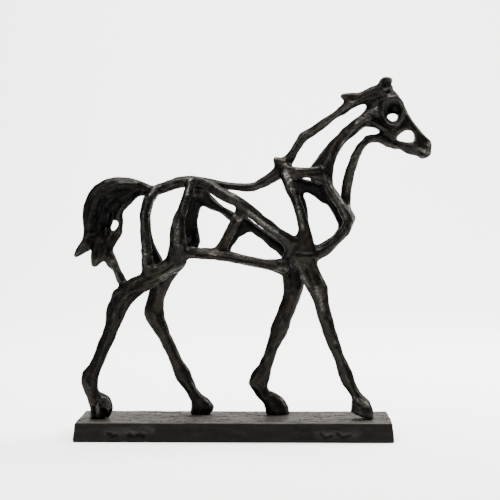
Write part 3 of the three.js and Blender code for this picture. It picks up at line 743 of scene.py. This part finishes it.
    def touched(self, stroke: Stroke, outward: np.ndarray) -> tuple[np.ndarray, np.ndarray]:
        """Finds what a stroke touches.

        Args:
            stroke: The stroke.
            outward: The outward direction at each vertex.

        Returns:
            The vertices under the stroke, and the share of its height that each one gets.
        """
        path = np.array(stroke.path)
        here = self.points[:, [0, 2]]
        inside = (here > path.min(axis=0) - stroke.reach) & (here < path.max(axis=0) + stroke.reach)
        close = np.flatnonzero(inside.all(axis=1))
        here = here[close]
        nearest = np.full(len(here), np.inf)
        for start, end in zip(path[:-1], path[1:]):
            run = end - start
            share = np.clip(((here - start) @ run) / (run @ run), 0.0, 1.0)
            foot = start + share[:, None] * run
            nearest = np.minimum(nearest, np.linalg.norm(here - foot, axis=1))
        share = np.clip(nearest / stroke.reach, 0.0, 1.0)
        shape = (1 - share ** 2) ** 2 if stroke.tool is Tool.ROUND else (1 - share) ** 1.5
        facing = sum(
            np.clip(outward[close, 1] * side * FACING_GAIN, 0.0, 1.0) * (self.points[close, 1] * side > 0.0)
            for side in stroke.side.value
        )
        return close, shape * facing

    def draw(self, pull: Pull) -> None:
        """Draws the skin round a place along X and Z, through the whole thickness.

        Args:
            pull: The place, the way it is drawn and how far round it the skin follows.
        """
        apart = np.linalg.norm(self.points[:, [0, 2]] - np.array(pull.place), axis=1)
        share = (1 - np.clip(apart / pull.reach, 0.0, 1.0) ** 2) ** 2
        self.points[:, 0] += pull.way[0] * share
        self.points[:, 2] += pull.way[1] * share

    def work(self, stroke: Stroke, outward: np.ndarray) -> None:
        """Raises or sinks the skin along a stroke.

        Args:
            stroke: The stroke to make.
            outward: The outward direction at each vertex.
        """
        close, share = self.touched(stroke, outward)
        self.points[close] += (stroke.height * share)[:, None] * outward[close]

    def note(self, name: str, values: np.ndarray) -> None:
        """Keeps one number for each vertex, for the material to read.

        Args:
            name: The name that the material reads it by.
            values: One number for each vertex.
        """
        made = self.mesh.attributes.new(name, "FLOAT", "POINT")
        made.data.foreach_set("value", values.astype(np.float32))


def new_piece(name: str, mesh: bpy.types.Mesh) -> bpy.types.Object:
    """Makes an object of a mesh and puts it in the scene, smoothly shaded.

    Args:
        name: The object's name.
        mesh: Its mesh, in metres.

    Returns:
        The new object.
    """
    made = bpy.data.objects.new(name, mesh)
    bpy.context.scene.collection.objects.link(made)
    mesh.shade_smooth()
    return made


def modified(mesh: bpy.types.Mesh, kind: str, settings: dict) -> bpy.types.Mesh:
    """Runs a mesh through one modifier.

    Args:
        mesh: The mesh to start from, which is left as it is.
        kind: Blender's name for the modifier's type.
        settings: Attribute names and values of the modifier.

    Returns:
        The new mesh.
    """
    blank = new_piece("blank", mesh)
    tool = blank.modifiers.new("tool", kind)
    for name, value in settings.items():
        setattr(tool, name, value)
    made = bpy.data.meshes.new_from_object(
        blank.evaluated_get(bpy.context.evaluated_depsgraph_get())
    )
    bpy.data.objects.remove(blank)
    return made


def squared(mesh: bpy.types.Mesh, cell: float) -> bpy.types.Mesh:
    """Covers a mesh with even small squares, and joins what overlaps.

    Args:
        mesh: The mesh to start from, which is left as it is.
        cell: The width of a square, in millimetres.

    Returns:
        The new mesh.
    """
    return modified(mesh, "REMESH", {"mode": "VOXEL", "voxel_size": cell * MM})


def even_skin(node: str, cell: float) -> bpy.types.Mesh:
    """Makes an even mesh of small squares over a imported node.

    Args:
        node: The node's name.
        cell: The width of a square, in millimetres.

    Returns:
        The new mesh, with no material.
    """
    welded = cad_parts[node].data.copy()
    bench = bmesh.new()
    bench.from_mesh(welded)
    bmesh.ops.remove_doubles(bench, verts=bench.verts, dist=0.001 * MM)
    bench.to_mesh(welded)
    bench.free()
    welded.materials.clear()
    return squared(welded, cell)


def filleted(mesh: bpy.types.Mesh, radius: float, cell: float) -> bpy.types.Mesh:
    """Gives the corners between bars a fillet: moves the skin out, joins it and moves it back.

    Args:
        mesh: An even mesh of small squares.
        radius: The radius of the fillets, in millimetres.
        cell: The width of a square, in millimetres.

    Returns:
        The new mesh, again of even small squares.
    """
    for way in (radius, -radius):
        skin = Skin(mesh)
        skin.relax(rounds=4)
        skin.points += way * skin.normals()
        skin.store()
        mesh = squared(skin.mesh, cell)
    return mesh


def take_place(piece: bpy.types.Object, node: str, finish: CastIron) -> None:
    """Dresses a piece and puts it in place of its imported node.

    Args:
        piece: The finished piece.
        node: The node that it stands for.
        finish: Its finish.
    """
    piece.data.materials.append(finish.material())
    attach(piece, BODY)
    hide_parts(node)


# The pieces


@dataclass
class HorseCasting:
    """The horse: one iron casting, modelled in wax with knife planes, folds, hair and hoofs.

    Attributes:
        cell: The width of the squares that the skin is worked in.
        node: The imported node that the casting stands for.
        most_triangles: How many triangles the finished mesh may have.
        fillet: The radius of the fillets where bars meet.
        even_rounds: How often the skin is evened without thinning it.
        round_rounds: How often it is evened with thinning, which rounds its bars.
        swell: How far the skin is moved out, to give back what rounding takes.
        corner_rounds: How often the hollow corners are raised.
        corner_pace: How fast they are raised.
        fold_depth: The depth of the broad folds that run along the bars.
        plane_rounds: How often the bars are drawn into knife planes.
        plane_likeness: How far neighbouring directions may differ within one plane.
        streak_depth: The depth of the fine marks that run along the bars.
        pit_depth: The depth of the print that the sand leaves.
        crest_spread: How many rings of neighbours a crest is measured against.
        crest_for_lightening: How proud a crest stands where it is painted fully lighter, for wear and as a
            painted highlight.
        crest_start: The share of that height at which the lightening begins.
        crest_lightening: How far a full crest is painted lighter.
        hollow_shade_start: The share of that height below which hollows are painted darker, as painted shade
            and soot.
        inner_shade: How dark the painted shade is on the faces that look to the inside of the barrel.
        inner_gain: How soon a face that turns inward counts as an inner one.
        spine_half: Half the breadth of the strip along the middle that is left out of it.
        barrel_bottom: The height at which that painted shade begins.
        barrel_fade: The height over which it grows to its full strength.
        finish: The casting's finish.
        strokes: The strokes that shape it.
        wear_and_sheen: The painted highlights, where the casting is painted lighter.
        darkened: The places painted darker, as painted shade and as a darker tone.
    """

    node: str = "horse"
    cell: float = 0.6
    most_triangles: int = 196_000
    fillet: float = 1.4
    even_rounds: int = 12
    round_rounds: int = 8
    swell: float = 0.34
    corner_rounds: int = 90
    corner_pace: float = 0.5
    fold_depth: float = 0.32
    plane_rounds: int = 12
    plane_likeness: float = 0.3
    streak_depth: float = 0.05
    pit_depth: float = 0.09
    crest_spread: int = 10
    crest_for_lightening: float = 0.7
    crest_start: float = 0.5
    crest_lightening: float = 0.5
    hollow_shade_start: float = 0.1
    inner_shade: float = 0.8
    inner_gain: float = 1.5
    spine_half: float = 6.0
    barrel_bottom: float = 112.0
    barrel_fade: float = 16.0
    finish: CastIron = HORSE_IRON
    strokes: tuple[Stroke, ...] = HEAD + NECK + FOREHAND + HAUNCH + LEGS + HOOFS + TAIL
    wear_and_sheen: tuple[Stroke, ...] = PAINTED_HIGHLIGHTS
    darkened: tuple[Stroke, ...] = DARKENED

    def build(self) -> bpy.types.Object:
        """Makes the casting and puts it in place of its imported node.

        Returns:
            The finished piece.
        """
        skin = Skin(filleted(even_skin(self.node, self.cell), self.fillet, self.cell))
        sole = skin.points[:, 2].min()
        skin.relax(self.even_rounds)
        skin.relax(self.round_rounds, restore=0.0)
        skin.points += self.swell * skin.normals()
        skin.fill_corners(self.corner_rounds, self.corner_pace)
        self.model(skin)
        skin.points[:, 2] = np.maximum(skin.points[:, 2], sole)
        skin.store()
        share = self.most_triangles / (2 * len(skin.mesh.polygons))
        piece = new_piece("horse_casting", modified(skin.mesh, "DECIMATE", {"ratio": share}))
        self.age(Skin(piece.data))
        take_place(piece, self.node, self.finish)
        return piece

    def age(self, casting: Skin) -> None:
        """Notes where the casting is painted lighter, for wear and painted highlights, and darker, for
        painted shade and soot.

        Args:
            casting: The skin of the finished piece.
        """
        outward = casting.normals()
        relief = casting.bulge(self.crest_spread) / self.crest_for_lightening
        # Crests are painted lighter, for wear and as a painted highlight along them, and the listed painted
        # highlights are added.
        lightening = self.crest_lightening * np.clip(relief - self.crest_start, 0.0, 1.0)
        for stroke in self.wear_and_sheen:
            close, share = casting.touched(stroke, outward)
            lightening[close] += stroke.height * share
        casting.note("wear_and_sheen", np.clip(lightening, 0.0, 1.0))
        # Faces that look into the barrel of the body get painted shade, from the height of its bottom up.
        aside = np.clip(casting.points[:, 1] / self.spine_half, -1.0, 1.0)
        risen = (casting.points[:, 2] - self.barrel_bottom) / self.barrel_fade
        in_barrel = np.clip(risen, 0.0, 1.0)
        inward = np.clip(-self.inner_gain * outward[:, 1] * aside, 0.0, 1.0) * in_barrel
        # Hollows are painted darker as painted shade, with the wax and soot that stay in them, and so are
        # the faces that look into the barrel.
        darkening = np.clip(self.hollow_shade_start - relief, 0.0, 1.0) + self.inner_shade * inward
        # Then the listed places are painted darker: painted shade in the eye socket and under the inner
        # lock, and a darker tone over the tail and the right hind leg.
        for stroke in self.darkened:
            close, share = casting.touched(stroke, np.sign(casting.points))
            darkening[close] += stroke.height * share
        casting.note("hollow", np.clip(darkening, 0.0, 1.0))

    def model(self, skin: Skin) -> None:
        """Works the folds, the planes, the pulls, the strokes and the tool marks into the skin.

        Args:
            skin: The skin to work.
        """
        along = skin.along(spread=14)
        folds = self.fold_depth * skin.streaks(along, start=14, run=30, seed=11)
        skin.points += folds[:, None] * skin.normals()
        skin.plane(self.plane_rounds, self.plane_likeness)
        for pull in PULLS:
            skin.draw(pull)
        outward = skin.normals()
        for stroke in self.strokes:
            skin.work(stroke, outward)
        marks = self.streak_depth * skin.streaks(along, start=2, run=40, seed=3)
        pits = self.pit_depth * skin.streaks(along, start=6, run=0, seed=5)
        skin.points += (marks + pits)[:, None] * skin.normals()
        skin.relax(rounds=1)


@dataclass
class Plinth:
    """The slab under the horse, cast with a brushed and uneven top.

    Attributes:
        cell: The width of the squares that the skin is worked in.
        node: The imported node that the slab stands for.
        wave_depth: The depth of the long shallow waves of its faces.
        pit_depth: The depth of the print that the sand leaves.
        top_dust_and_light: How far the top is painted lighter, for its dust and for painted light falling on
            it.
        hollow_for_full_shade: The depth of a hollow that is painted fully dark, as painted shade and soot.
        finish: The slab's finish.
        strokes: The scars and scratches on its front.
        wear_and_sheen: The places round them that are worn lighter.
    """

    node: str = "plinth"
    cell: float = 0.95
    wave_depth: float = 0.12
    pit_depth: float = 0.06
    top_dust_and_light: float = 0.7
    hollow_for_full_shade: float = 0.4
    finish: CastIron = PLINTH_IRON
    strokes: tuple[Stroke, ...] = PLINTH_FRONT
    wear_and_sheen: tuple[Stroke, ...] = PLINTH_RUBBED

    def build(self) -> bpy.types.Object:
        """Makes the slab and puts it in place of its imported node.

        Returns:
            The finished piece.
        """
        piece = new_piece("plinth_slab", even_skin(self.node, self.cell))
        skin = Skin(piece.data)
        skin.relax(rounds=2)
        outward = skin.normals()
        for stroke in self.strokes:
            skin.work(stroke, outward)
        lengthwise = np.tile(np.array([1.0, 0.0, 0.0], dtype=np.float32), (len(outward), 1))
        relief = self.wave_depth * skin.streaks(lengthwise, start=6, run=24, seed=7)
        relief += self.pit_depth * skin.streaks(lengthwise, start=1, run=0, seed=9)
        above_the_foot = np.clip(outward[:, 2] + 1.0, 0.0, 1.0)
        skin.points += (relief * above_the_foot)[:, None] * outward
        skin.points[:, 2] = np.maximum(skin.points[:, 2], 0.0)
        # The top is painted lighter for its dust and for painted light falling on it; the places round the
        # scars are worn lighter.
        top = np.clip(outward[:, 2], 0.0, 1.0) ** 2
        lightening = self.top_dust_and_light * top
        for stroke in self.wear_and_sheen:
            close, share = skin.touched(stroke, outward)
            lightening[close] += stroke.height * share
        skin.note("wear_and_sheen", np.clip(lightening, 0.0, 1.0))
        # Hollows are painted darker: painted shade, with the soot that stays in them.
        skin.note("hollow", np.clip(-skin.bulge(spread=6) / self.hollow_for_full_shade, 0.0, 1.0))
        skin.store()
        take_place(piece, self.node, self.finish)
        return piece


@dataclass
class Studio:
    """The plain pale floor, the soft lights and the camera at the photograph's angle.

    Attributes:
        camera_place: Where the camera stands, in millimetres.
        camera_down: How far it looks down, in radians.
        camera_left: How far it is turned to the left, in radians.
        lens: Its focal length, in millimetres.
        paper: The colour of the floor.
    """

    camera_place: tuple[float, float, float] = (36.6, -1241.7, 171.6)
    camera_down: float = 0.0306
    camera_left: float = 0.0206
    lens: float = 125.05
    paper: str = "#f6f5f3"

    def build(self) -> None:
        """Makes the floor, the lights and the camera."""
        self.floor()
        self.lights()
        self.camera()

    def floor(self) -> None:
        """Lays a pale sheet that runs on under and behind the statue."""
        half, front, bend, radius, rise, steps = 5.0, -6.0, 1.2, 0.5, 2.6, 12
        rows = [(front, 0.0), (bend, 0.0)]
        rows += [
            (bend + radius * math.sin(a), radius - radius * math.cos(a))
            for a in (math.pi / 2 * k / steps for k in range(1, steps + 1))
        ]
        rows.append((bend + radius, rise))
        corners = [(x, y, z) for y, z in rows for x in (-half, half)]
        faces = [(2 * k, 2 * k + 1, 2 * k + 3, 2 * k + 2) for k in range(len(rows) - 1)]
        mesh = bpy.data.meshes.new("paper_sweep")
        mesh.from_pydata(corners, [], faces)
        sweep = new_piece("paper_sweep", mesh)
        paper = bpy.data.materials.new("matt paper")
        paper.use_nodes = True
        shader = paper.node_tree.nodes["Principled BSDF"]
        shader.inputs["Base Color"].default_value = srgb(self.paper)
        shader.inputs["Roughness"].default_value = 0.9
        mesh.materials.append(paper)

    def lights(self) -> None:
        """Hangs soft lights to the right, in front, above and on the wall, under an even sky."""
        middle = Vector((0.0, 0.0, 0.12))
        self.soft_light("window", Vector((1.1, 0.5, 0.9)), middle, 0.7, 50.0)
        self.soft_light("fill", Vector((-0.9, -1.1, 1.0)), middle, 0.4, 14.0)
        self.soft_light("overhead", Vector((0.0, -0.1, 1.5)), middle, 0.7, 58.0)
        self.soft_light("wall wash", Vector((0.0, 0.8, 1.5)), Vector((0.0, 1.6, 0.2)), 1.2, 74.0)
        world = bpy.data.worlds.new("sky")
        world.use_nodes = True
        sky = world.node_tree.nodes["Background"]
        sky.inputs["Color"].default_value = srgb("#f4f5f7")
        sky.inputs["Strength"].default_value = 0.25
        bpy.context.scene.world = world

    def soft_light(
        self, name: str, place: Vector, target: Vector, width: float, power: float
    ) -> None:
        """Hangs one square soft light.

        Args:
            name: The light's name.
            place: Where it hangs, in metres.
            target: The point that it faces, in metres.
            width: Its width, in metres.
            power: Its power, in watts.
        """
        data = bpy.data.lights.new(name, "AREA")
        data.size = width
        data.energy = power
        lamp = bpy.data.objects.new(name, data)
        lamp.location = place
        lamp.rotation_euler = (target - place).to_track_quat("-Z", "Y").to_euler()
        bpy.context.scene.collection.objects.link(lamp)

    def camera(self) -> None:
        """Sets the camera where the photograph was taken from."""
        data = bpy.data.cameras.new("view")
        data.lens = self.lens
        data.clip_end = 20.0
        eye = bpy.data.objects.new("view", data)
        eye.location = Vector(self.camera_place) * MM
        eye.rotation_euler = (math.pi / 2 - self.camera_down, 0.0, self.camera_left)
        bpy.context.scene.collection.objects.link(eye)
        bpy.context.scene.camera = eye


def main() -> None:
    """Builds the casting, the plinth and the studio, and reports each."""
    logging.basicConfig(level=logging.INFO, format="%(name)s: %(message)s")
    for part in (HorseCasting(), Plinth()):
        piece = part.build()
        LOG.info("%s: %d faces", piece.name, len(piece.data.polygons))
    Studio().build()
    LOG.info("floor, lights and camera are set")


if __name__ == "__main__":
    main()
